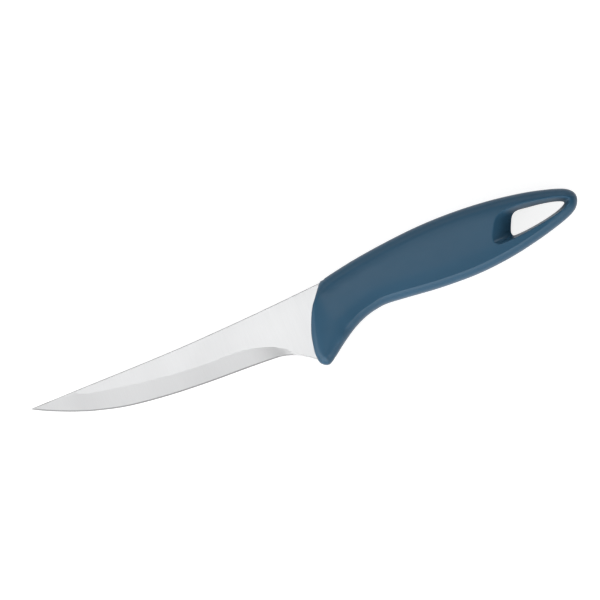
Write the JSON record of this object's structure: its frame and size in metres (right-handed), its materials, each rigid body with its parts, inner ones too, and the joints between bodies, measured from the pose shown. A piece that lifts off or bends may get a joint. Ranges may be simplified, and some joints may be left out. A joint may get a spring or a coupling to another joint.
{
  "type": "kitchen knife",
  "caption": "Narrow upswept kitchen knife with a moulded blue handle, hooked guard, creased belly and tapered hang hole.",
  "frame": {"origin": "centre of the bounding box in plan, on the surface that the knife lies on, level with its lower rest face", "axes": "+X from the tip to the butt along the spine, +Y from the cutting edge up to the spine, +Z across the thickness, out of the upper rest face"},
  "size_m": [0.2344, 0.0372, 0.014],
  "materials": {
    "steel": "satin ground",
    "core_plastic": "as moulded",
    "grip_plastic": "fine moulded satin"
  },
  "bodies": {
    "root": {"blade": "steel", "handle_core": "core_plastic", "handle_grip": "grip_plastic"}
  },
  "joints": []
}
